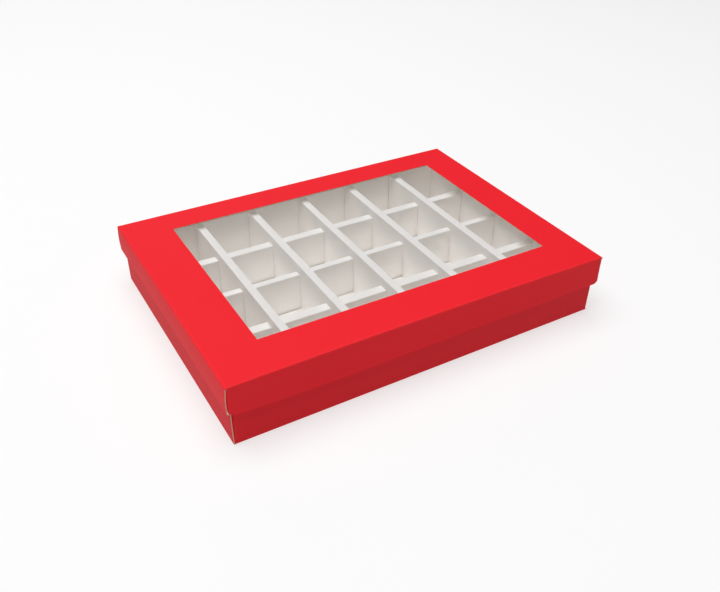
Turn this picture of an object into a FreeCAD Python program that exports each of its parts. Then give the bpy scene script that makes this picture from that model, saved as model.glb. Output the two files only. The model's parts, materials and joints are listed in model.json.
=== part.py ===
"""Partitioned presentation box: a windowed lid, a tray and two interlocking pleated inserts.

Millimetres, +Z up.  The origin is the middle of the tray's underside, +X runs along the long
side and -Y is the front.  The lid and the tray are each one creased board blank.  Their short
sides are roll-over double walls, which trap the corner flaps of the long sides.  Each insert is
one sheet of card, pleated into hollow ridges and slotted so that the two lock as a grid.
"""
import FreeCAD, Part
import os
import re

# name: (millimetres, what it is)
SIZES = {
    "lid_length": (251.0, "lid, outside, along X at the foot of its skirt"),
    "lid_width": (181.0, "lid, outside, along Y at the foot of its skirt"),
    "lid_skirt": (18.5, "depth of the lid's skirt"),
    "total_height": (40.5, "table to the lid's top face, closed"),
    "board": (0.5, "thickness of the coated board"),
    "layer_gap": (0.2, "air between the layers of a double wall"),
    "flap_length": (38.0, "corner flap, along Y"),
    "flap_relief": (0.8, "corner flap, shorter than its wall at both edges"),
    "window_length": (195.9, "window, along X"),
    "window_width": (130.8, "window, along Y"),
    "window_shift_x": (3.05, "window centre, right of the lid's centre"),
    "window_shift_y": (3.8, "window centre, behind the lid's centre"),
    "film": (0.15, "thickness of the window film"),
    "film_overlap": (8.0, "film beyond the window's edge"),
    "glue": (0.1, "thickness of the glue line"),
    "glue_width": (3.0, "width of the glue line"),
    "glue_margin": (2.5, "glue line in from the film's edge"),
    "tray_length": (245.4, "tray, outside, along X"),
    "tray_width": (175.0, "tray, outside, along Y"),
    "card": (0.4, "thickness of the insert card"),
    "insert_gap": (0.3, "air between the inserts and what is beside them"),
    "rest_gap": (0.05, "air under each insert"),
    "pitch_x": (37.8, "cell to cell along X"),
    "pitch_y": (39.5, "cell to cell along Y"),
    "long_ridge": (4.5, "width of a long ridge, along X"),
    "cross_ridge": (5.0, "width of a cross ridge, along Y"),
    "long_top": (35.5, "top of the long ridges and of the border, above the table"),
    "cross_top": (29.5, "top of the cross ridges, above the table"),
    "slot_level": (15.5, "where the slots of the two sheets meet, above the table"),
}
COLUMNS = 6
ROWS = 4
SIDES = (-1, 1)
END = 1.0  # how far a cutting block runs past the card it cuts

doc = FreeCAD.newDocument("PartitionedBox")
sheet = doc.addObject("Spreadsheet::Sheet", "Sizes")
for row, (alias, (value, meaning)) in enumerate(SIZES.items(), start=1):
    sheet.set("A%d" % row, meaning)
    sheet.set("B%d" % row, str(value))
    sheet.setAlias("B%d" % row, alias)
doc.recompute()


def bound(text):
    """Turns a sum of named sizes into an expression on the spreadsheet."""
    return re.sub(r"[a-z_]{3,}", lambda word: "Sizes." + word.group(), text)


def around(half, centre="0"):
    """Low and high bounds of a stretch that reaches half to each side of a centre."""
    return "%s - (%s)" % (centre, half), "%s + (%s)" % (centre, half)


def outward(side, near, far):
    """Low and high bounds of a stretch from near to far, on the left (-1) or right (1)."""
    if side < 0:
        return "-(%s)" % far, "-(%s)" % near
    return near, far


def block(name, x, y, z):
    """A box between a low and a high bound on each axis."""
    box = doc.addObject("Part::Box", name)
    for axis, size, (low, high) in zip("xyz", ("Length", "Width", "Height"), (x, y, z)):
        box.setExpression("Placement.Base." + axis, bound(low))
        box.setExpression(size, bound("(%s) - (%s)" % (high, low)))
    return box


def joined(name, pieces):
    """One solid from pieces that share folds."""
    fuse = doc.addObject("Part::MultiFuse", name)
    fuse.Shapes = pieces
    fuse.Refine = True
    return fuse


def trimmed(name, base, tools):
    """A base with one or more blocks cut out of it."""
    cut = doc.addObject("Part::Cut", name)
    cut.Base = base
    cut.Tool = tools[0] if len(tools) == 1 else joined(name + "_tools", tools)
    cut.Refine = True
    return cut


def placed(label, piece, level):
    """Names a finished sub-part and sets it at its height above the table."""
    piece.Label = label
    piece.setExpression("Placement.Base.z", bound(level))
    return piece


def folded_walls(name, length, width, low, high, roll):
    """Walls of one blank: two plain long sides, and two roll-over double short sides.

    roll is the bounds in z of the fold that turns each short side back on itself.
    """
    pieces = []
    flap_x = "%s / 2 - board - layer_gap" % length
    inner_x = "%s / 2 - 2 * board - 2 * layer_gap" % length
    inner_y = "%s / 2 - board - layer_gap" % width
    for side in SIDES:
        end = "left" if side < 0 else "right"
        flank = "front" if side < 0 else "back"
        pieces.append(block("%s_%s_side" % (name, flank), around(flap_x),
                            outward(side, "%s / 2 - board" % width, "%s / 2" % width), (low, high)))
        pieces.append(block("%s_%s_outer" % (name, end),
                            outward(side, "%s / 2 - board" % length, "%s / 2" % length),
                            around("%s / 2" % width), (low, high)))
        pieces.append(block("%s_%s_inner" % (name, end), outward(side, inner_x + " - board", inner_x),
                            around(inner_y), (low + " + layer_gap", high + " - layer_gap")))
        pieces.append(block("%s_%s_roll" % (name, end),
                            outward(side, inner_x + " - board", "%s / 2" % length),
                            around(inner_y), roll))
        for edge in SIDES:
            pieces.append(block("%s_%s_flap" % (name, end), outward(side, flap_x + " - board", flap_x),
                                outward(edge, "%s / 2 - flap_length" % width, "%s / 2" % width),
                                (low + " + flap_relief", high + " - flap_relief")))
    return pieces


# Lid blank: top panel with the window, and the skirt.  Drawn down from its top face.
lid_low = "-lid_skirt"
lid_top = block("lid_top", around("lid_length / 2"), around("lid_width / 2"), ("-board", "0"))
lid_walls = folded_walls("lid", "lid_length", "lid_width", lid_low, "0", (lid_low, lid_low + " + board"))
window_x = around("window_length / 2", "window_shift_x")
window_y = around("window_width / 2", "window_shift_y")
window = block("window", window_x, window_y, ("-board - %g" % END, "%g" % END))
lid = placed("lid_blank", trimmed("lid", joined("lid_shell", [lid_top] + lid_walls), [window]),
             "total_height")

# Window film, glued under the top panel, and the glue line that holds it.
film_half_x = "window_length / 2 + film_overlap"
film_half_y = "window_width / 2 + film_overlap"
film_panel = block("film_panel", around(film_half_x, "window_shift_x"),
                   around(film_half_y, "window_shift_y"), ("0", "film"))
film = placed("window_film", film_panel, "total_height - board - glue - film")

glue_half_x = film_half_x + " - glue_margin"
glue_half_y = film_half_y + " - glue_margin"
glue_sheet = block("glue_sheet", around(glue_half_x, "window_shift_x"),
                   around(glue_half_y, "window_shift_y"), ("0", "glue"))
glue_clear = block("glue_clear", around(glue_half_x + " - glue_width", "window_shift_x"),
                   around(glue_half_y + " - glue_width", "window_shift_y"),
                   ("-%g" % END, "%g" % END))
glue = placed("window_glue_line", trimmed("glue_line", glue_sheet, [glue_clear]),
              "total_height - board - glue")

# Tray blank: floor panel and walls up to the lid's underside.
tray_high = "total_height - board"
tray_floor = block("tray_floor", around("tray_length / 2"), around("tray_width / 2"), ("0", "board"))
tray_walls = folded_walls("tray", "tray_length", "tray_width", "0", tray_high,
                          (tray_high + " - board", tray_high))
tray = placed("tray_blank", joined("tray", [tray_floor] + tray_walls), "0")

# The inserts share a grid of cells.  Heights are drawn from the underside of each sheet.
cells_half_x = "(%d * pitch_x - long_ridge) / 2" % COLUMNS
cells_half_y = "(%d * pitch_y - cross_ridge) / 2" % ROWS
room_half_x = "tray_length / 2 - 3 * board - 2 * layer_gap - insert_gap"
room_half_y = "tray_width / 2 - board - insert_gap"
long_lines = ["%g * pitch_x" % (i - COLUMNS / 2) for i in range(1, COLUMNS)]
cross_lines = ["%g * pitch_y" % (i - ROWS / 2) for i in range(1, ROWS)]


def hollow_ridge(name, span, run, height, along_y):
    """A block and the block that hollows it, open below: a strip pleated to an inverted U."""
    inside = (span[0] + " + card", span[1] + " - card")
    beyond = (run[0] + " - %g" % END, run[1] + " + %g" % END)
    shell = (span, run) if along_y else (run, span)
    core = (inside, beyond) if along_y else (beyond, inside)
    return (block(name, shell[0], shell[1], ("0", height)),
            block(name + "_hollow", core[0], core[1], ("-%g" % END, height + " - card")))


def pleated(name, floor, ridges, slots):
    """One sheet: floor strips joined by hollow ridges, then slotted."""
    shells = [floor] + [shell for shell, core in ridges]
    cores = [core for shell, core in ridges]
    return trimmed(name, joined(name + "_shell", shells), cores + slots)


# Cross sheet, underneath: its ridges run along X and are slotted from above.
cross_level = "board + rest_gap"
cross_run = around(cells_half_x + " - insert_gap")
cross_ridges = [hollow_ridge("cross_ridge", around("cross_ridge / 2", line), cross_run,
                             "cross_top - (%s)" % cross_level, False) for line in cross_lines]
cross_ridges += [hollow_ridge("cross_border", outward(side, cells_half_y, room_half_y),
                              around(room_half_x), "long_top - (%s)" % cross_level, False)
                 for side in SIDES]
cross_slots = [block("cross_slot", around("long_ridge / 2 + insert_gap", line),
                     around(cells_half_y + " - %g" % END),
                     ("slot_level - (%s)" % cross_level, "long_top")) for line in long_lines]
cross_floor = block("cross_floor", cross_run, around(cells_half_y + " + card"), ("0", "card"))
cross_sheet = placed("insert_cross_sheet",
                     pleated("cross_sheet", cross_floor, cross_ridges, cross_slots), cross_level)

# Long sheet, on top: its ridges run along Y and are slotted from below.
long_level = "board + card + 2 * rest_gap"
long_run = around(cells_half_y + " - insert_gap")
long_ridges = [hollow_ridge("long_ridge", around("long_ridge / 2", line), long_run,
                            "long_top - (%s)" % long_level, True) for line in long_lines]
long_ridges += [hollow_ridge("long_border", outward(side, cells_half_x, room_half_x), long_run,
                             "long_top - (%s)" % long_level, True) for side in SIDES]
long_slots = [block("long_slot", around(cells_half_x + " - card / 2"),
                    around("cross_ridge / 2 + insert_gap", line),
                    ("-%g" % END, "slot_level + insert_gap - (%s)" % long_level))
              for line in cross_lines]
long_floor = block("long_floor", around(cells_half_x + " + card"), long_run, ("0", "card"))
long_sheet = placed("insert_long_sheet",
                    pleated("long_sheet", long_floor, long_ridges, long_slots), long_level)

doc.recompute()
for item in doc.Objects:
    if "Invalid" in item.State or "Error" in item.State:
        raise RuntimeError("%s failed: %s" % (item.Label, item.State))

os.makedirs("parts", exist_ok=True)
for part in (lid, film, glue, tray, cross_sheet, long_sheet):
    shape = part.Shape
    if shape.isNull() or not shape.isValid() or not shape.Solids:
        raise RuntimeError("%s has no valid solid" % part.Label)
    shape.exportStep("parts/%s.step" % part.Label)
    box = shape.BoundBox
    print("%-20s %d solid  %8.1f mm3  x %.2f..%.2f  y %.2f..%.2f  z %.2f..%.2f" % (
        part.Label, len(shape.Solids), shape.Volume, box.XMin, box.XMax, box.YMin, box.YMax,
        box.ZMin, box.ZMax))
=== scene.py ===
# %% [markdown]
# # A folded board box with a window lid and a pleated card insert
#
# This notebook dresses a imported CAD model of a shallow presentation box. The CAD holds every size
# and how the box comes apart. Here each blank is cut flat and folded crease by crease, as a box
# maker does it, so that the rounded creases, the raw cut edges and the springy, slightly bowed walls
# come from the geometry itself.

import bisect
import json
import math

import bmesh
import bpy
from mathutils import Euler, Matrix, Vector, noise


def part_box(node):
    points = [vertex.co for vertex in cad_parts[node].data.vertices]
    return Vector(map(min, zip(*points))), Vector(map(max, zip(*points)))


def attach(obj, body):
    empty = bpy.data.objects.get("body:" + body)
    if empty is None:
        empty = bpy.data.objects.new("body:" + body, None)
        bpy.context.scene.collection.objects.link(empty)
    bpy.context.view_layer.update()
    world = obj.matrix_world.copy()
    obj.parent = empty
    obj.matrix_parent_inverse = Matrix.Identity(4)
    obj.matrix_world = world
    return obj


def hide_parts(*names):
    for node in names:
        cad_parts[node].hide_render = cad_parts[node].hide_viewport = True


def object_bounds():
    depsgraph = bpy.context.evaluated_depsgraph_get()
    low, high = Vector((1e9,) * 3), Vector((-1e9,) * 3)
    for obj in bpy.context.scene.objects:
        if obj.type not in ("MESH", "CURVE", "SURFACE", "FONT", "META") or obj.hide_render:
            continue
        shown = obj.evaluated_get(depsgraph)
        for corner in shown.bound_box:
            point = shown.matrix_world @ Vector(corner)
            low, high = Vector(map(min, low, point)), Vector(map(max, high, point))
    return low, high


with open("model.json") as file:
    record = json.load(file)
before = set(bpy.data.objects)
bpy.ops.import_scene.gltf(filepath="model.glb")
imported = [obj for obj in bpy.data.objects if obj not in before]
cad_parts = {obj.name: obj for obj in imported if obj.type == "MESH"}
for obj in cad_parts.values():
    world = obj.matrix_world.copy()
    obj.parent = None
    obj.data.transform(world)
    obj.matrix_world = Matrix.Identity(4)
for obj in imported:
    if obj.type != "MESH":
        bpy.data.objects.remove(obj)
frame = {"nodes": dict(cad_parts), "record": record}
cad_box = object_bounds()
MM = 0.001
print("CAD box, mm:", [[round(c / MM, 1) for c in corner] for corner in cad_box])

# %% [markdown]
# ## Sizes that the frame gives
#
# The lid's skirt, the tray's height and the film come from the boxes of their CAD nodes. The film
# runs a fixed margin past the window, so the window is the film's box less that margin. The cells are
# in the record, as boxes that are kept free for what the box holds. Their edges give the ridges.

# %% Read the sizes
lid_low, lid_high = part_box("lid_blank")
tray_low, tray_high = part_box("tray_blank")
film_low, film_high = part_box("window_film")
long_low, long_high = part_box("insert_long_sheet")
cross_low, cross_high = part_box("insert_cross_sheet")

FILM_MARGIN = 8 * MM
window_x = (film_low.x + FILM_MARGIN, film_high.x - FILM_MARGIN)
window_y = (film_low.y + FILM_MARGIN, film_high.y - FILM_MARGIN)

cells = [entry["box_m"] for entry in frame["record"]["physics"]["openings"]]


def cell_edges(axis):
    """Low and high edges of the rows of cells along an axis, in order."""
    spans = {(round(low[axis], 5), round(high[axis], 5)) for low, high in cells}
    return sorted(spans)


columns = cell_edges(0)
rows = cell_edges(1)
print(len(columns), "columns and", len(rows), "rows of cells")

# %% [markdown]
# ## Cutting a blank
#
# A box starts as a flat sheet with its outline, window and creases die-cut into it. A plane with
# boolean cuts would give long thin triangles that shade badly once they are bent. A ruled sheet
# is better: each panel is a grid of four-sided cells, with extra lines where a crease will bend, and
# panels that share a crease share its vertices. A cell that isn't wanted is simply left out, which
# is how the window and the slots are made.

# %% A flat sheet of ruled panels


def ruled(keys, step):
    """Lines through all the keys, with evenly spaced ones between, no further apart than step."""
    keys = sorted({round(key, 7) for key in keys})
    lines = [keys[0]]
    for low, high in zip(keys, keys[1:]):
        parts = max(1, math.ceil((high - low) / step - 1e-6))
        lines += [low + (high - low) * i / parts for i in range(1, parts + 1)]
    return lines


def arc_lines(start, length, parts):
    """Lines that divide the arc of a crease evenly."""
    return [start + length * i / parts for i in range(parts + 1)]


QUARTER = math.pi / 2


class Blank:
    """A flat sheet. Its vertices hold how near they are to a crease, for wear and a painted highlight
    there.
    """

    def __init__(self):
        self.sheet = bmesh.new()
        self.crease_wear_and_highlight = self.sheet.verts.layers.float.new("crease")
        self.corners = {}

    def corner(self, u, v):
        """The vertex at a flat place, made the first time that it is asked for."""
        key = (round(u, 7), round(v, 7))
        if key not in self.corners:
            self.corners[key] = self.sheet.verts.new((u, v, 0))
        return self.corners[key]

    def panel(self, us, vs, keep=lambda u, v: True):
        """Adds a grid of cells, leaving out those whose middle keep() refuses."""
        us, vs = sorted(us), sorted(vs)
        for left, right in zip(us, us[1:]):
            for low, high in zip(vs, vs[1:]):
                if keep((left + right) / 2, (low + high) / 2):
                    ring = [(left, low), (right, low), (right, high), (left, high)]
                    self.sheet.faces.new([self.corner(u, v) for u, v in ring])

    def mitre(self, side, end, wall_x, wall_y, before, after, arc, along_x):
        """Adds one cell of a crease past its end, cut so that two creases meet at a corner."""
        radius = arc / QUARTER
        ring = [(before, 0), (after, 0), (after, radius * math.sin(after / radius)),
                (before, radius * math.sin(before / radius))]
        if along_x:
            ring = [(v, u) for u, v in ring]
        if along_x != (side * end < 0):
            ring.reverse()
        ring = [self.corner(side * (wall_x + u), end * (wall_y + v)) for u, v in ring]
        self.sheet.faces.new(list(dict.fromkeys(ring)))

    def shaped(self, place):
        """Moves each vertex from its flat place (u, v) to where place(u, v) says."""
        for (u, v), vertex in self.corners.items():
            vertex.co, vertex[self.crease_wear_and_highlight] = place(u, v)


# %% [markdown]
# ## Folding along a crease
#
# Board doesn't turn on a knife edge. Its printed face runs round a small arc, and everything past the
# crease swings with it. Bending a flat point round that arc needs only its distance past the crease,
# so a double fold is the same function used twice, the outermost crease first.

# %% Bend a point round a crease


def fold(point, axis, crease, angle, radius):
    """Bends a point that lies past a crease down round an arc. The crease's sign gives the side."""
    side = math.copysign(1, crease)
    past = side * point[axis] - abs(crease)
    if past <= 0:
        return point
    turned = min(past / radius, angle)
    straight = past - turned * radius
    reach = (radius + point.z) * math.sin(turned) + straight * math.cos(turned)
    moved = point.copy()
    moved[axis] = side * (abs(crease) + reach)
    moved.z = (radius + point.z) * math.cos(turned) - radius - straight * math.sin(turned)
    return moved


# %% [markdown]
# ## Giving the sheet its thickness
#
# The sheet is the printed face. Solidify adds the board behind it, and gives the back and the cut
# edges materials of their own, which is where a carton looks like a carton. The edges that turn more
# than 35 degrees stay sharp, and weighted normals keep the flat panels flat beside their arcs.

# %% Thicken and register a sheet

SHARP = math.radians(35)


def solid_sheet(name, blank, thickness, looks, body, node):
    """Turns a folded blank into a board piece with a printed face, a back and cut edges."""
    mesh = bpy.data.meshes.new(name)
    blank.sheet.to_mesh(mesh)
    blank.sheet.free()
    piece = bpy.data.objects.new(name, mesh)
    bpy.context.scene.collection.objects.link(piece)
    for look in looks:
        mesh.materials.append(look)
    board = piece.modifiers.new("board", "SOLIDIFY")
    board.thickness = thickness
    board.offset = -1
    board.material_offset = 1
    board.material_offset_rim = 2
    settled = piece.evaluated_get(bpy.context.evaluated_depsgraph_get())
    piece.data = bpy.data.meshes.new_from_object(settled)
    piece.modifiers.clear()
    piece.data.name = name
    piece.data.shade_smooth()
    piece.data.set_sharp_from_angle(angle=SHARP)
    even = piece.modifiers.new("even", "WEIGHTED_NORMAL")
    even.keep_sharp = True
    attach(piece, body)
    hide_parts(node)
    print("%-20s %6d faces" % (name, len(piece.data.polygons)))
    return piece


# %% [markdown]
# ## Wiring shaders as sums
#
# A material is easier to read as arithmetic than as boxes and noodles. A Wire holds one output of a
# node, and its operators add the Math nodes, so a mask can be written as 1 - fibre * 0.2.

# %% A small language for materials


class Wire:
    """One output of a node. Arithmetic on it adds Math nodes."""

    def __init__(self, recipe, socket):
        self.recipe = recipe
        self.socket = socket

    def math(self, operation, *values):
        return self.recipe.node("ShaderNodeMath", {"operation": operation}, *values)

    def __add__(self, other):
        return self.math("ADD", self, other)

    __radd__ = __add__

    def __sub__(self, other):
        return self.math("SUBTRACT", self, other)

    def __rsub__(self, other):
        return self.math("SUBTRACT", other, self)

    def __mul__(self, other):
        return self.math("MULTIPLY", self, other)

    __rmul__ = __mul__

    def clipped(self):
        """The same value, kept from 0 to 1."""
        return self.math("MAXIMUM", self.math("MINIMUM", self, 1.0), 0.0)


class Recipe:
    """A material under construction. Its methods add nodes and hand back Wires."""

    def __init__(self, name):
        self.material = bpy.data.materials.new(name)
        self.material.use_nodes = True
        self.tree = self.material.node_tree
        self.tree.nodes.clear()

    def node(self, kind, settings=None, *values, out=0, **named):
        """Adds a node: its settings first, then values or wires for its sockets."""
        made = self.tree.nodes.new(kind)
        for key, value in (settings or {}).items():
            setattr(made, key, value)
        pairs = list(enumerate(values)) + [(key.replace("_", " "), v) for key, v in named.items()]
        for key, value in pairs:
            self.feed(made.inputs[key], value)
        return Wire(self, made.outputs[out])

    def feed(self, socket, value):
        """Links a wire to a socket, or sets the socket's own value."""
        if isinstance(value, Wire):
            self.tree.links.new(value.socket, socket)
        elif socket.type == "RGBA":
            socket.default_value = (*value, 1)
        else:
            socket.default_value = value

    def grain(self, scale, detail=3.0, roughness=0.55, stretch=(1, 1, 1)):
        """Noise in the piece's own space, so that it stays on the piece as the piece moves."""
        place = self.node("ShaderNodeTexCoord", None, out="Object")
        place = self.node("ShaderNodeVectorMath", {"operation": "MULTIPLY"}, place, stretch)
        return self.node("ShaderNodeTexNoise", None, Vector=place, Scale=scale, Detail=detail,
                         Roughness=roughness)

    def crease(self):
        """How near the surface is to a crease, as the blank's vertices hold it."""
        return self.node("ShaderNodeAttribute", {"attribute_name": "crease"}, out="Fac")

    def blend(self, mask, first, second):
        """A colour that goes from first to second with the mask."""
        mixer = self.tree.nodes.new("ShaderNodeMix")
        mixer.data_type = "RGBA"
        self.feed(mixer.inputs[0], mask)
        self.feed(mixer.inputs[6], first)
        self.feed(mixer.inputs[7], second)
        return Wire(self, mixer.outputs[2])

    def bump(self, height, depth):
        """A surface roughened by a height, which stands depth metres tall at 1."""
        return self.node("ShaderNodeBump", None, Height=height, Distance=depth, Strength=1.0)

    def finished(self, **sockets):
        """Ends the recipe in a Principled surface with the given sockets."""
        surface = self.node("ShaderNodeBsdfPrincipled", None, **sockets)
        end = self.tree.nodes.new("ShaderNodeOutputMaterial")
        self.tree.links.new(surface.socket, end.inputs["Surface"])
        print("finish", self.material.name, "with", len(self.tree.nodes), "nodes")
        return self.material


# %% [markdown]
# ## The red face of the board
#
# Coated carton is printed and sealed with a thin satin varnish. Close up it has three scales of
# detail: a cloudy unevenness of the ink over a few centimetres, the mottled lay of the fibres under
# the coating, and a fine tooth that softens every highlight. Along a crease the coating is stretched,
# so the surface is rougher and the colour a little paler and pinker; that colour is partly wear and
# partly a painted highlight, the light that a rounded fold catches. A painted texture could hold all
# that, but noise in object space needs no unwrapping and has no seams. The tray's copy of the board
# is a shade darker, as painted shade for the shade that falls on the tray under the lid.

# %% Red coated board
RED = (0.85, 0.0165, 0.0275)
RED_CLOUD = (0.81, 0.013, 0.022)
# The crease colour below is partly stretched coating and partly a painted highlight.
RED_WEAR_AND_HIGHLIGHT = (0.88, 0.05, 0.05)
# The tray's red is taken darker by this factor: painted shade for the shade under the lid's foot.
TRAY_PAINTED_SHADE = 0.90
INK_CLOUDS = 22
COATED_FIBRES = 420
COATING_TOOTH = 2600
COATING_DEPTH = 0.03 * MM


def red_board(name, depth=1.0):
    """The coated face. depth under 1 darkens the ink, as painted shade under the lid."""
    recipe = Recipe(name)
    bright_ink_and_shade = tuple(depth * part for part in RED)
    cloud_ink_and_shade = tuple(depth * part for part in RED_CLOUD)
    cloud = recipe.grain(INK_CLOUDS, detail=2)
    mottle = recipe.grain(COATED_FIBRES, detail=4)
    tooth = recipe.grain(COATING_TOOTH, detail=2)
    crease = recipe.crease()
    # Paler, pinker colour along the creases: partly wear of the stretched coating, partly a painted
    # highlight.
    worn_and_highlit = (crease * (0.05 + mottle * 0.3)).clipped()
    ink_and_shade = recipe.blend((cloud * 0.9 + mottle * 0.35 - 0.1).clipped(), bright_ink_and_shade, cloud_ink_and_shade)
    colour = recipe.blend(worn_and_highlit, ink_and_shade, RED_WEAR_AND_HIGHLIGHT)
    rough = 0.52 + mottle * 0.10 + tooth * 0.06 + crease * 0.08
    height = mottle * 0.6 + tooth * 0.4
    return recipe.finished(Base_Color=colour, Roughness=rough, Specular_IOR_Level=0.12,
                           Normal=recipe.bump(height, COATING_DEPTH))


# %% [markdown]
# ## The raw side and the cut edge
#
# The back of the board isn't printed. It is a pale grey-white, with darker fibres lying in the
# direction the board was made. The cut edge shows the plies of the board, warm and brownish, with
# thin lines that run along the sheet. Those lines lie in planes, so the edge's noise is squeezed
# hard along two axes and left alone along the other. Board this thin lets a little light through.
# A real translucent shader would be slow and darken the cells, so a faint even glow stands in for it.

# %% Raw board and cut edge
RAW_WHITE = (0.86, 0.845, 0.81)
RAW_FIBRE = (0.72, 0.69, 0.64)
CUT_PALE = (0.74, 0.54, 0.40)
CUT_BROWN = (0.46, 0.29, 0.20)
LIGHT_THROUGH = (1.0, 0.93, 0.88)
BOARD_GLOW = 0.14
BACK_FIBRES = 300
BACK_SPECKS = 1500
BACK_DEPTH = 0.04 * MM
PLIES = 1800
FRAYED_FIBRES = 5200
CUT_DEPTH = 0.06 * MM


def raw_back(name, pale, fibre, glow):
    """The unprinted side. glow stands in for the little light that thin board lets through."""
    recipe = Recipe(name)
    lay = recipe.grain(BACK_FIBRES, detail=4, stretch=(0.25, 1, 1))
    speck = recipe.grain(BACK_SPECKS, detail=2)
    colour = recipe.blend((lay * 1.6 - 0.55).clipped() * 0.5 + speck * 0.15, pale, fibre)
    return recipe.finished(Base_Color=colour, Roughness=0.72 + speck * 0.15, Specular_IOR_Level=0.3,
                           Emission_Color=LIGHT_THROUGH, Emission_Strength=glow,
                           Normal=recipe.bump(lay * 0.5 + speck * 0.5, BACK_DEPTH))


def cut_edge(name, pale, brown):
    """The cut through the plies of a sheet."""
    recipe = Recipe(name)
    plies = recipe.grain(PLIES, detail=3, stretch=(0.2, 0.2, 1))
    fray = recipe.grain(FRAYED_FIBRES, detail=2)
    colour = recipe.blend((plies * 2.0 - 0.6).clipped(), pale, brown)
    return recipe.finished(Base_Color=colour, Roughness=0.8 + fray * 0.15, Specular_IOR_Level=0.2,
                           Normal=recipe.bump(plies * 0.5 + fray * 0.5, CUT_DEPTH))


# %% [markdown]
# ## White insert card
#
# The insert is plain white card, matte on both sides. It is never one even white: the fibres make
# a faint mottle, and each pleat's crease is slightly crushed. Both stay within a few percent, or the
# card starts to look like plaster.

# %% White card
CARD = (0.91, 0.895, 0.875)
CARD_DIM = (0.88, 0.86, 0.835)
CARD_CRUSHED = (0.90, 0.88, 0.86)
CARD_CUT = (0.74, 0.72, 0.68)
CARD_CUT_DIM = (0.55, 0.51, 0.46)
CARD_GLOW = 0.05
CARD_FIBRES = 260
CARD_TOOTH = 1900
CARD_DEPTH = 0.035 * MM


def white_card():
    """The face of the insert card."""
    recipe = Recipe("white_card")
    mottle = recipe.grain(CARD_FIBRES, detail=5)
    tooth = recipe.grain(CARD_TOOTH, detail=2)
    crease = recipe.crease()
    card = recipe.blend((mottle * 1.8 - 0.5).clipped(), CARD, CARD_DIM)
    colour = recipe.blend(crease * 0.5, card, CARD_CRUSHED)
    return recipe.finished(Base_Color=colour, Roughness=0.66 + mottle * 0.16, Specular_IOR_Level=0.3,
                           Emission_Color=LIGHT_THROUGH, Emission_Strength=CARD_GLOW,
                           Normal=recipe.bump(mottle * 0.4 + tooth * 0.6, CARD_DEPTH))


# %% Make the board's and the card's finishes
board_looks = [red_board("red_board"), raw_back("raw_board", RAW_WHITE, RAW_FIBRE, BOARD_GLOW),
               cut_edge("board_edge", CUT_PALE, CUT_BROWN)]
# The tray's red is a darker copy of the lid's: painted shade for the shade under the lid.
tray_looks = [red_board("red_board_tray_painted_shade", TRAY_PAINTED_SHADE)] + board_looks[1:]
card_looks = [white_card(), raw_back("card_back", CARD, CARD_DIM, CARD_GLOW),
              cut_edge("card_edge", CARD_CUT, CARD_CUT_DIM)]

# %% [markdown]
# ## The blank of the lid and the tray
#
# The lid and the tray are the same cut: a main panel, two plain long sides whose ends turn the corner
# as flaps, and two short sides that roll over the flaps and come back up as an inner wall. So one
# function cuts and folds both. It works with the main panel on top and the walls hanging down, and
# the tray is then turned over.
#
# A few things are never perfect on a real box, and they are kept here: the walls spring back a little
# from square, the lower corners of the long sides are rounded, the right-hand wall stops short of the
# front, and on the left its raw end shows beside the corner fold.

# %% Sizes of a folded wall
BOARD = 0.5 * MM
LAYER_GAP = 0.2 * MM
CREASE_RADIUS = 0.6 * MM
ROLL_RADIUS = (3 * BOARD + 2 * LAYER_GAP) / 2
FLAP_LENGTH = 36 * MM
FLAP_RELIEF = 0.25 * MM
FLAP_TAPER = 0.16
ROUNDING = 2.4 * MM
ROUNDING_REACH = 0.9
INNER_GAP = 0.7 * MM
OPEN_NEAR = 2 * MM
OPEN_FAR = 10 * MM
# How far from a crease the worn colour reaches; on the red board it is also a painted highlight.
WEAR_AND_HIGHLIGHT_REACH = 0.8 * MM
NEARLY = 0.001 * MM
SIDES = (-1, 1)

# %% Lines of a carton's blank
RULE = 8 * MM
ARC_PARTS = 4
TURN_PARTS = 6
ROUNDING_PARTS = 4
BESIDE_CREASE = 1.2 * MM
BESIDE_SKIRT = 1.6 * MM
BESIDE_FLAP = 1.5 * MM
print("a short side rolls round an arc of %.2f mm" % (ROLL_RADIUS / MM))

# %% Small measures for folding


def rounded_rise(past, radius):
    """How far a rounded corner lifts the lower edge, at a distance past where it starts."""
    if past <= 0:
        return 0.0
    inside = min(past, ROUNDING_REACH * radius)
    return radius - math.sqrt(radius * radius - inside * inside)


def between(value, low, high):
    """How far a value is on its way from low to high, from 0 to 1."""
    return min(1.0, max(0.0, (value - low) / (high - low)))


# %% [markdown]
# ## Cutting and folding the carton
#
# The rules that cross a panel also cross the walls that hang from it, so that their vertices meet.
# One more line runs beside each crease, which keeps the bend from softening the flat of the panel.
#
# Every flat place then folds by itself. A place on a long side first turns the corner, if it lies on
# a flap, and then hangs down. A place on a short side first rolls over at the foot, and then hangs
# down. The small faults are added on the way.

# %% Cut and fold one blank


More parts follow.
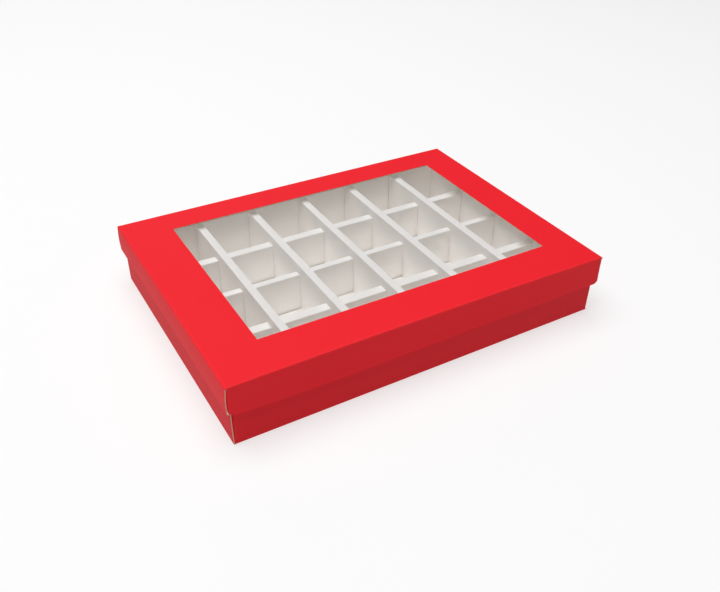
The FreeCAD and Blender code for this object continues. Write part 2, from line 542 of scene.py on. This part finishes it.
def folded_blank(half_x, half_y, depth, spring, belly, turns, setbacks, gaps, window=None):
    """Cuts a blank flat and folds it, with the main panel on top at z = 0.

    half_x and half_y are the main panel's outline and depth the height of the walls. spring is how
    far the foot of a long side stands out from square, and belly how far a short side bulges.
    turns gives the radius of the corner folds at each side in x. setbacks says how far the short
    walls stop from each corner, and gaps how far the corner fold stands back from their plane.
    """
    blank = Blank()
    wall_x = half_x - CREASE_RADIUS
    wall_y = half_y - CREASE_RADIUS
    flap_x = {side: half_x - BOARD - LAYER_GAP - turns[side] for side in SIDES}
    side_arc = wall_arc = CREASE_RADIUS * QUARTER
    side_depth = depth - CREASE_RADIUS
    wall_depth = depth - CREASE_RADIUS - ROLL_RADIUS
    roll_start = wall_x + wall_arc + wall_depth
    roll_arc = ROLL_RADIUS * math.pi
    inner_end = roll_start + roll_arc + wall_depth - INNER_GAP
    stops = sorted(set(setbacks.values()) - {0})

    x_keys = [-wall_x, wall_x, BESIDE_CREASE - wall_x, wall_x - BESIDE_CREASE]
    for side in SIDES:
        x_keys += [side * (flap_x[side] - ROUNDING * part / ROUNDING_PARTS)
                   for part in range(ROUNDING_PARTS + 1)]
    y_keys = [wall_y, wall_y - BESIDE_CREASE] + [half_y - stop for stop in stops]
    y_keys += [-key for key in y_keys]
    if window:
        x_keys += window[0]
        y_keys += window[1]
    top_x, top_y = ruled(x_keys, RULE), ruled(y_keys, RULE)
    long_x = [u for u in top_x if -flap_x[-1] - NEARLY <= u <= flap_x[1] + NEARLY]

    def in_window(u, v):
        return window and window[0][0] < u < window[0][1] and window[1][0] < v < window[1][1]

    blank.panel(top_x, top_y, lambda u, v: not in_window(u, v))
    side_crease = arc_lines(0, side_arc, ARC_PARTS)
    side_lines = ruled([side_arc, side_arc + FLAP_RELIEF, side_arc + BESIDE_SKIRT,
                        side_arc + side_depth], RULE / 2)
    flap_lines = side_lines[1:]
    wall_crease = arc_lines(0, wall_arc, ARC_PARTS)
    wall_lines = ruled([wall_arc, wall_arc + BESIDE_CREASE, wall_arc + wall_depth], RULE / 2)
    roll_lines = arc_lines(wall_arc + wall_depth, roll_arc, 2 * ARC_PARTS)
    inner_lines = ruled([roll_lines[-1], roll_lines[-1] + BESIDE_CREASE, inner_end - wall_x],
                        RULE / 2)

    for end in SIDES:
        blank.panel(top_x, [end * (wall_y + line) for line in side_crease])
        blank.panel(long_x, [end * (wall_y + line) for line in side_lines])
        for side in SIDES:
            turn_arc = turns[side] * QUARTER
            flap_v = [end * (wall_y + line) for line in flap_lines]
            turn_u = arc_lines(flap_x[side], turn_arc, TURN_PARTS)
            flap_u = ruled([turn_u[-1], turn_u[-1] + BESIDE_FLAP, turn_u[-1] + FLAP_LENGTH], RULE)
            blank.panel([side * u for u in turn_u], flap_v)
            blank.panel([side * u for u in flap_u], flap_v)

    for side in SIDES:
        def kept(u, v):
            setback = setbacks[side, -1 if v < 0 else 1]
            return setback == 0 or abs(v) < half_y - setback

        blank.panel([side * (wall_x + line) for line in wall_crease], top_y)
        for lines in (wall_lines, roll_lines, inner_lines):
            blank.panel([side * (wall_x + line) for line in lines], top_y, kept)
        for end in SIDES:
            for before, after in zip(wall_crease, wall_crease[1:]):
                blank.mitre(side, end, wall_x, wall_y, before, after, wall_arc, False)
            for before, after in zip(side_crease, side_crease[1:]):
                blank.mitre(side, end, wall_x, wall_y, before, after, side_arc, True)
            if setbacks[side, end] == 0:
                blank.panel([side * (wall_x + line) for line in wall_lines],
                            [end * wall_y, end * half_y])

    def stand_back(side, end, down, from_corner):
        """How far the corner fold and the inner wall behind it stand back from a short wall."""
        gap = gaps.get((side, end), 0)
        opened = min(1.0, 2 * down) if gap > 0 else 1.0
        return gap * opened * (1 - between(from_corner, OPEN_NEAR, OPEN_FAR))

    def place(u, v):
        """Where a flat place goes, and how near it is to a crease."""
        side, end = int(math.copysign(1, u)), int(math.copysign(1, v))
        past_x, past_y = abs(u) - wall_x, abs(v) - wall_y
        point = Vector((u, v, 0))
        if past_y > NEARLY and (past_y > past_x or past_y > CREASE_RADIUS + NEARLY):
            down = (past_y - side_arc) / side_depth
            past_turn = abs(u) - flap_x[side]
            turn_arc = turns[side] * QUARTER
            if down > 0:
                rise = rounded_rise(past_turn + ROUNDING, ROUNDING)
                rise += FLAP_TAPER * max(0.0, past_turn - turn_arc)
                point.y -= end * rise * down * down
                if past_turn > NEARLY:
                    point = fold(point, 0, side * flap_x[side], QUARTER, turns[side])
                point.x -= side * stand_back(side, end, down, abs(past_turn))
            point = fold(point, 1, end * wall_y, QUARTER, CREASE_RADIUS)
            point.y += end * spring * max(0.0, down) ** 2
            near = min(abs(past_y - side_arc / 2) - side_arc / 2,
                       abs(past_turn - turn_arc / 2) - turn_arc / 2)
        else:
            point = fold(point, 0, side * roll_start, math.pi, ROLL_RADIUS)
            point = fold(point, 0, side * wall_x, QUARTER, CREASE_RADIUS)
            down = between(-point.z, 0, depth)
            rolled = between(abs(u), roll_start, roll_start + roll_arc)
            point.x += side * belly * math.sin(math.pi * down)
            point.x -= side * rolled * max(0.0, stand_back(side, end, down, half_y - abs(v)))
            near = min(abs(past_x - wall_arc / 2) - wall_arc / 2,
                       abs(abs(u) - roll_start - roll_arc / 2) - roll_arc / 2)
            if past_x < 0:
                near = min(near, abs(past_y - side_arc / 2) - side_arc / 2)
        return point, 1 - between(near, 0, WEAR_AND_HIGHLIGHT_REACH)

    blank.shaped(place)
    print("folded a blank with", len(blank.corners), "corners")
    return blank


# %% [markdown]
# ## The lid
#
# The lid's panel is smaller than its foot, because the skirt springs open. The window is off centre,
# towards the back right, which leaves a wide bar of board at the front. That bar has been pressed in
# a little in the middle, and the skirt under it stands out most on the left, where a hand opens it.

# %% Fold the lid
SPRING = 0.5 * MM
BELLY = 0.45 * MM
BAR_SAG = 1.1 * MM
FOOT_OUT = 0.45 * MM
FOOT_DROP = 1.2 * MM
FOOT_PEAK = 0.27
FOOT_BAND = 4 * MM
lid_half = (lid_high - lid_low) / 2
lid_depth = 2 * lid_half.z
corner_turns = {-1: 0.5 * MM, 1: 1.1 * MM}
lid_setbacks = {(-1, -1): 0, (-1, 1): 0, (1, -1): 3 * MM, (1, 1): 1 * MM}
lid_gaps = {(-1, -1): 0.25 * MM, (1, -1): -0.6 * MM, (1, 1): -0.4 * MM}
lid_blank = folded_blank(lid_half.x - SPRING, lid_half.y - SPRING, lid_depth, SPRING, BELLY,
                         corner_turns, lid_setbacks, lid_gaps, (window_x, window_y))


def lid_ease(co):
    """The lid's front bar pressed in at the middle, and its foot standing out near the left."""
    along = between(co.x, -lid_half.x, lid_half.x)
    down = between(-co.z, 0, lid_depth)
    front = between(-co.y, -window_y[0], lid_half.y - SPRING)
    if front <= 0:
        return
    swell = along / FOOT_PEAK * math.exp(1 - along / FOOT_PEAK)
    co.y += BAR_SAG * 4 * along * (1 - along) * front * (1 - down * down)
    if co.y < -lid_half.y + FOOT_BAND:
        co.y += FOOT_OUT * (1 - swell) * down
        co.z -= FOOT_DROP * swell * down * down


for vertex in lid_blank.sheet.verts:
    lid_ease(vertex.co)
    vertex.co.z += lid_high.z
lid_board = solid_sheet("lid_board", lid_blank, BOARD, board_looks, "lid", "lid_blank")

# %% [markdown]
# ## The tray
#
# The tray is the same cut, deeper, and turned upside down. Its front has spread at the left, which
# opens the dark seam beside its front left corner.

# %% Fold the tray
TRAY_SPRING = 0.4 * MM
TRAY_BELLY = 0.2 * MM
SPREAD_START = 0.7
TRAY_SPREAD = 1.2 * MM
TRAY_TUCK = 0.2 * MM
tray_half = (tray_high - tray_low) / 2
tray_setbacks = {(-1, 1): 0, (-1, -1): 0, (1, 1): 3 * MM, (1, -1): 1 * MM}
tray_gaps = {(-1, 1): 0.9 * MM, (1, 1): -0.6 * MM, (1, -1): -0.4 * MM}
tray_blank = folded_blank(tray_half.x, tray_half.y, 2 * tray_half.z, TRAY_SPRING, TRAY_BELLY,
                          corner_turns, tray_setbacks, tray_gaps)
turn_over = Matrix.Rotation(math.pi, 3, "X")


def tray_ease(co):
    """The foot of the tray's front, spread at the left and tucked in at the right."""
    along = between(co.x, -tray_half.x, tray_half.x)
    front = between(-co.y, SPREAD_START * tray_half.y, tray_half.y)
    low = 1 - between(co.z, 0, 2 * tray_half.z)
    co.y -= (TRAY_SPREAD * (1 - along) - TRAY_TUCK * along) * front * low


for vertex in tray_blank.sheet.verts:
    vertex.co = turn_over @ vertex.co
    tray_ease(vertex.co)
tray_board = solid_sheet("tray_board", tray_blank, BOARD, tray_looks, "tray", "tray_blank")

# %% [markdown]
# ## Pleating the insert
#
# Each insert sheet is bent into the same profile all along its length: floor, up one side of a ridge,
# over its flat top, down the other side. So the profile is drawn once as a path with rounded corners,
# and the sheet's flat lines are laid on it at equal distances along the path. Slots are cells left
# out, below the meeting level in the long sheet and above it in the cross sheet.

# %% A path with rounded corners


def rounded_path(corners, step):
    """Points along a path of (place, height, radius, how sharply creased), arcs included.

    Returns (place, height, crease) tuples. A corner with no radius is kept as a point.
    """
    points = []
    for i, (x, z, radius, crease) in enumerate(corners):
        here = Vector((x, z))
        if 0 < i < len(corners) - 1 and radius > 0:
            back = (Vector(corners[i - 1][:2]) - here).normalized()
            ahead = (Vector(corners[i + 1][:2]) - here).normalized()
            half_turn = (math.pi - back.angle(ahead)) / 2
            reach = radius * math.tan(half_turn)
            centre = here + (back + ahead).normalized() * (radius / math.cos(half_turn))
            start, end = here + back * reach - centre, here + ahead * reach - centre
            for k in range(ARC_PARTS + 1):
                spoke = start.lerp(end, k / ARC_PARTS).normalized() * radius
                points.append((*(centre + spoke), crease))
        else:
            points.append((x, z, crease))
    dense = [points[0]]
    for before, after in zip(points, points[1:]):
        parts = max(1, math.ceil(math.dist(before[:2], after[:2]) / step - 1e-6))
        for k in range(1, parts + 1):
            t = k / parts
            crease = after[2] if k == parts else 0.0
            dense.append((before[0] + (after[0] - before[0]) * t,
                          before[1] + (after[1] - before[1]) * t, crease))
    return dense


# %% Draw a pleated profile
CARD_THICK = 0.4 * MM
TOP_RADIUS = 0.5 * MM
FOOT_RADIUS = 0.45 * MM
SLOT_LEVEL = 15.7 * MM
NARROW_AT_SLOT = 0.45
SHARPLY = 1.0
SOFTLY = 0.5


def ridge_corners(left, right, floor, top, narrow):
    """Up, over and down one ridge. narrow is how much the top is drawn in at each side."""
    waist = narrow * NARROW_AT_SLOT
    return [(left, floor, FOOT_RADIUS, SOFTLY), (left + waist, SLOT_LEVEL, 0, 0),
            (left + narrow, top, TOP_RADIUS, SHARPLY), (right - narrow, top, TOP_RADIUS, SHARPLY),
            (right - waist, SLOT_LEVEL, 0, 0), (right, floor, FOOT_RADIUS, SOFTLY)]


def pleated_profile(spans, low, high, foot, floor, top, narrows, border_top):
    """The whole profile of a sheet: a border pleat at each end, and a ridge between cells."""
    first, last = spans[0][0], spans[-1][1]
    corners = [(low, foot, 0, 0), (low, border_top, TOP_RADIUS, SHARPLY),
               (first, border_top, TOP_RADIUS, SHARPLY), (first, SLOT_LEVEL, 0, 0),
               (first, floor, FOOT_RADIUS, SOFTLY)]
    for before, after, narrow in zip(spans, spans[1:], narrows):
        corners += ridge_corners(before[1], after[0], floor, top, narrow)
    corners += [(last, floor, FOOT_RADIUS, SOFTLY), (last, SLOT_LEVEL, 0, 0),
                (last, border_top, TOP_RADIUS, SHARPLY), (high, border_top, TOP_RADIUS, SHARPLY),
                (high, foot, 0, 0)]
    profile = rounded_path(corners, RULE / 2)
    print("a profile of", len(profile), "points over", len(narrows), "ridges")
    return profile


# %% [markdown]
# ## Laying a sheet on its profile
#
# Every line of the flat sheet knows its own place on the profile, so the sheet is made flat, with the
# slots missing, and then laid on. Card that is pushed through slots is never quite straight: each
# ridge gets a slow sway along its length, a fifth of a millimetre at most, from smooth seeded noise.
# The sway grows with height, because the feet are held.

# %% Lay a sheet on a profile
SWAY = 0.2 * MM
SWAY_LENGTH = 60 * MM
SAG = 0.15 * MM
SAG_SEED = 9
LOOSE_HEIGHT = 20 * MM
RIDGE_REACH = 12 * MM
RIDGE_SEED = 3.1


def pleated_sheet(profile, lines, keep, along_y, seed):
    """Makes a sheet whose flat u runs along the profile and whose v runs along the ridges."""
    travel = [0.0]
    for before, after in zip(profile, profile[1:]):
        travel.append(travel[-1] + math.dist(before[:2], after[:2]))
    spot = {round(s, 7): point for s, point in zip(travel, profile)}

    def on_profile(u):
        i = bisect.bisect(travel, u)
        return [(here + ahead) / 2 for here, ahead in zip(profile[i - 1], profile[i])][:2]

    blank = Blank()
    blank.panel(travel, lines, lambda u, v: keep(*on_profile(u), v))
    lowest = min(point[1] for point in profile)

    def place(u, v):
        across, up, crease = spot[u]
        loose = min(1.0, max(0.0, (up - lowest) / LOOSE_HEIGHT))
        ridge = round(across / RIDGE_REACH) * RIDGE_SEED + seed
        across += SWAY * noise.noise(Vector((ridge, v / SWAY_LENGTH, seed))) * loose
        wave = Vector((across / SWAY_LENGTH, v / SWAY_LENGTH, seed + SAG_SEED))
        up += SAG * noise.noise(wave) * loose
        return Vector((across, v, up) if along_y else (v, across, up)), crease

    blank.shaped(place)
    if not along_y:
        for face in blank.sheet.faces:
            face.normal_flip()
    return blank


# %% [markdown]
# ## The cross sheet
#
# The lower sheet's ridges run left to right and stand 6 mm lower than the long ones. They aren't all
# folded alike: the front ridge is spread open and the middle one pinched. Its ridges are slotted from
# above, and each slot is a little wider than the ridge that it takes.

# %% Slots
SLOT_GAP = 0.3 * MM
HAIR = 0.01 * MM
long_ridges = [(before[1], after[0]) for before, after in zip(columns, columns[1:])]
cross_ridges = [(before[1], after[0]) for before, after in zip(rows, rows[1:])]


def inside(place, spans, room):
    """Whether a place falls in one of the spans, widened by some room."""
    return any(low - room < place < high + room for low, high in spans)


def slot_lines(ridges, rooms):
    """Lines at both sides of the slot for each ridge, for every room that a slot leaves."""
    return [edge for low, high in ridges for room in rooms for edge in (low - room, high + room)]


print(len(long_ridges), "long ridges cross", len(cross_ridges), "cross ridges")

# %% Pleat the cross sheet
CROSS_DROP = 6 * MM
CROSS_NARROWS = [-0.6 * MM, 0.2 * MM, -0.4 * MM]
CROSS_SEED = 3.7
END_GAP = 0.35 * MM
cross_end = columns[-1][1] - END_GAP
cross_profile = pleated_profile(rows, cross_low.y, cross_high.y, cross_low.z,
                                cross_low.z + CARD_THICK, cross_high.z - CROSS_DROP,
                                CROSS_NARROWS, cross_high.z)
cross_lines = ruled([cross_low.x, cross_high.x, -cross_end, cross_end]
                    + slot_lines(long_ridges, [SLOT_GAP]), RULE)


def cross_keep(across, up, along):
    """Leaves out the slots in the ridges, and the ends of the floor and ridges past the cells."""
    if across < rows[0][0] + HAIR or across > rows[-1][1] - HAIR:
        return True
    slotted = up > SLOT_LEVEL and inside(along, long_ridges, SLOT_GAP)
    return abs(along) < cross_end and not slotted


cross_blank = pleated_sheet(cross_profile, cross_lines, cross_keep, False, CROSS_SEED)
cross_insert = solid_sheet("cross_insert", cross_blank, CARD_THICK, card_looks, "cross_sheet",
                           "insert_cross_sheet")

# %% [markdown]
# ## The long sheet
#
# The upper sheet's ridges run front to back over the cross ridges. It is slotted from below, right
# across its floor, so that the cross ridges can come up through it. Its floor hangs between the
# ridges, clear of the sheet below. It is cut back further than the ridges are, so an open dark line
# shows at the foot of each cross ridge.

# %% Pleat the long sheet
FLOOR_RISE = 3.3 * MM
FLOOR_GAP = 1.0 * MM
FLOOR_BAND = 0.2 * MM
LONG_NARROWS = [-0.25 * MM, -0.3 * MM, -0.2 * MM, -0.35 * MM, -0.3 * MM]
LONG_SEED = 1.3
long_floor = long_low.z + CARD_THICK + FLOOR_RISE
long_profile = pleated_profile(columns, long_low.x, long_high.x, long_low.z, long_floor,
                               long_high.z, LONG_NARROWS, long_high.z)
long_lines = ruled([long_low.y, long_high.y] + slot_lines(cross_ridges, [SLOT_GAP, FLOOR_GAP]), RULE)


def long_keep(across, up, along):
    """Leaves out the slots that the cross ridges come up through."""
    within = columns[0][0] < across < columns[-1][1]
    room = FLOOR_GAP if up < long_floor + FLOOR_BAND else SLOT_GAP
    return not (within and up < SLOT_LEVEL and inside(along, cross_ridges, room))


long_blank = pleated_sheet(long_profile, long_lines, long_keep, True, LONG_SEED)
long_insert = solid_sheet("long_insert", long_blank, CARD_THICK, card_looks, "long_sheet",
                          "insert_long_sheet")

# %% [markdown]
# ## The window
#
# The window is a thin clear film, glued under the panel. Glass shaders bend light and leave the
# insert in the dark behind it, so this film is a dark gloss that is nearly all transparent, and
# shows only as much as a Fresnel reflection does. It isn't quite flat: slow ripples of a few
# hundredths of a millimetre break up what it mirrors.

# %% Clear film
FILM = 0.1 * MM
FILM_DROP = 0.05 * MM
FILM_DARK = (0.10, 0.10, 0.10)
FILM_HAZE = 90
RIPPLE = 0.04 * MM
RIPPLE_LENGTH = 45 * MM
RIPPLE_SEED = 5.2


def clear_film():
    """The film's finish: nearly all transparent, and less so at a glancing angle."""
    recipe = Recipe("clear_film")
    glare = recipe.node("ShaderNodeFresnel", None, IOR=1.45)
    haze = recipe.grain(FILM_HAZE, detail=3)
    return recipe.finished(Base_Color=FILM_DARK, Roughness=0.06 + haze * 0.05,
                           Specular_IOR_Level=0.5, Alpha=0.035 + glare * 0.15)


def ripple(u, v):
    """Where a place of the flat film goes. It has no creases."""
    height = noise.noise(Vector((u / RIPPLE_LENGTH, v / RIPPLE_LENGTH, RIPPLE_SEED)))
    return Vector((u, v, film_high.z - FILM_DROP + RIPPLE * height)), 0.0


film_blank = Blank()
film_blank.panel(ruled([film_low.x, film_high.x], RULE), ruled([film_low.y, film_high.y], RULE))
film_blank.shaped(ripple)
film_looks = [clear_film()] * 3
film = solid_sheet("film", film_blank, FILM, film_looks, "lid", "window_film")

# %% [markdown]
# ## The glue line
#
# The glue under the panel keeps its CAD shape, and only needs a finish: a milky, slightly uneven
# adhesive.

# %% Glue
GLUE_MILKY = (0.83, 0.80, 0.70)
GLUE_YELLOW = (0.72, 0.68, 0.56)
GLUE_CLOTS = 700
GLUE_DEPTH = 0.03 * MM


def glue_look():
    """Dried white glue."""
    recipe = Recipe("glue")
    clots = recipe.grain(GLUE_CLOTS, detail=3)
    colour = recipe.blend(clots, GLUE_MILKY, GLUE_YELLOW)
    return recipe.finished(Base_Color=colour, Roughness=0.3 + clots * 0.25, Alpha=0.75,
                           Normal=recipe.bump(clots, GLUE_DEPTH))


glue = frame["nodes"]["window_glue_line"]
glue.data.materials.clear()
glue.data.materials.append(glue_look())

# %% [markdown]
# ## The floor
#
# The box stands on a plain white floor. A mid grey that also glows a little stays white round the
# box and throws a soft even light on the walls, as a lit table does.

# %% Floor
FLOOR_HALF = 4.0
FLOOR_CLEARANCE = 0.02 * MM
FLOOR_PALE = (0.36, 0.36, 0.36)
FLOOR_DUSTY = (0.34, 0.34, 0.34)
FLOOR_DUST = 60
FLOOR_GLOW = 0.60
WHITE = (1.0, 1.0, 1.0)


def floor_look():
    """A matte floor that is lit from below."""
    recipe = Recipe("studio_floor")
    dust = recipe.grain(FLOOR_DUST, detail=2)
    colour = recipe.blend(dust * 0.2, FLOOR_PALE, FLOOR_DUSTY)
    return recipe.finished(Base_Color=colour, Roughness=0.85, Specular_IOR_Level=0.1,
                           Emission_Color=WHITE, Emission_Strength=FLOOR_GLOW)


floor_sheet = bmesh.new()
bmesh.ops.create_grid(floor_sheet, x_segments=8, y_segments=8, size=FLOOR_HALF)
floor_mesh = bpy.data.meshes.new("studio_floor")
floor_sheet.to_mesh(floor_mesh)
floor_sheet.free()
floor = bpy.data.objects.new("studio_floor", floor_mesh)
floor_mesh.materials.append(floor_look())
bpy.context.scene.collection.objects.link(floor)
floor.location.z = cad_box[0].z - FLOOR_CLEARANCE

# %% [markdown]
# ## The light
#
# One wide soft panel hangs overhead, so the top is the brightest face and the walls are lit mostly by
# what the floor throws back. A small dim panel behind lights the far walls, and a dim even sky fills
# the rest. White card passes light from wall to wall many times, so the bounces are raised.

# %% Light
SKY = 0.11
BOUNCES = 10


def soft_light(name, place, aim, size, power):
    """A square area light at a place, turned towards a point."""
    lamp = bpy.data.lights.new(name, "AREA")
    lamp.size = size
    lamp.energy = power
    lit = bpy.data.objects.new(name, lamp)
    bpy.context.scene.collection.objects.link(lit)
    lit.location = place
    lit.rotation_euler = (Vector(aim) - Vector(place)).to_track_quat("-Z", "Y").to_euler()
    print("light", name, "of", power, "W")


soft_light("overhead", place=(-0.32, 0.08, 1.8), aim=(0, 0, 0), size=1.7, power=39)
soft_light("backdrop", place=(0.2, 1.6, 0.6), aim=(0, 0, 0.05), size=1.2, power=3)
world = bpy.data.worlds.new("studio")
bpy.context.scene.world = world
world.use_nodes = True
sky = world.node_tree.nodes["Background"]
sky.inputs["Color"].default_value = (*WHITE, 1)
sky.inputs["Strength"].default_value = SKY
bpy.context.scene.view_settings.view_transform = "Standard"
bpy.context.scene.cycles.diffuse_bounces = BOUNCES

# %% [markdown]
# ## The camera
#
# The box is seen from the front left and from about 35 degrees up. The camera is set by the direction
# that it looks from and the point that it looks at, measured from the middle of the box.

# %% Camera
AZIMUTH = math.radians(-30.786)
ELEVATION = math.radians(35.101)
ROLL = math.radians(1.11)
DISTANCE = 495.0 * MM
AIM = Vector((-12.4, -28.3, -0.25)) * MM
LENS = 40.28
SENSOR = 36

aim = (cad_box[0] + cad_box[1]) / 2 + AIM
back = Vector((math.sin(AZIMUTH) * math.cos(ELEVATION), -math.cos(AZIMUTH) * math.cos(ELEVATION),
               math.sin(ELEVATION)))
lens = bpy.data.cameras.new("camera")
lens.lens = LENS
lens.sensor_width = SENSOR
camera = bpy.data.objects.new("camera", lens)
bpy.context.scene.collection.objects.link(camera)
camera.location = aim + back * DISTANCE
turned = (-back).to_track_quat("-Z", "Y").to_matrix() @ Euler((0, 0, ROLL)).to_matrix()
camera.rotation_euler = turned.to_euler()
bpy.context.scene.camera = camera
print("camera at, mm:", [round(c / MM, 1) for c in camera.location])
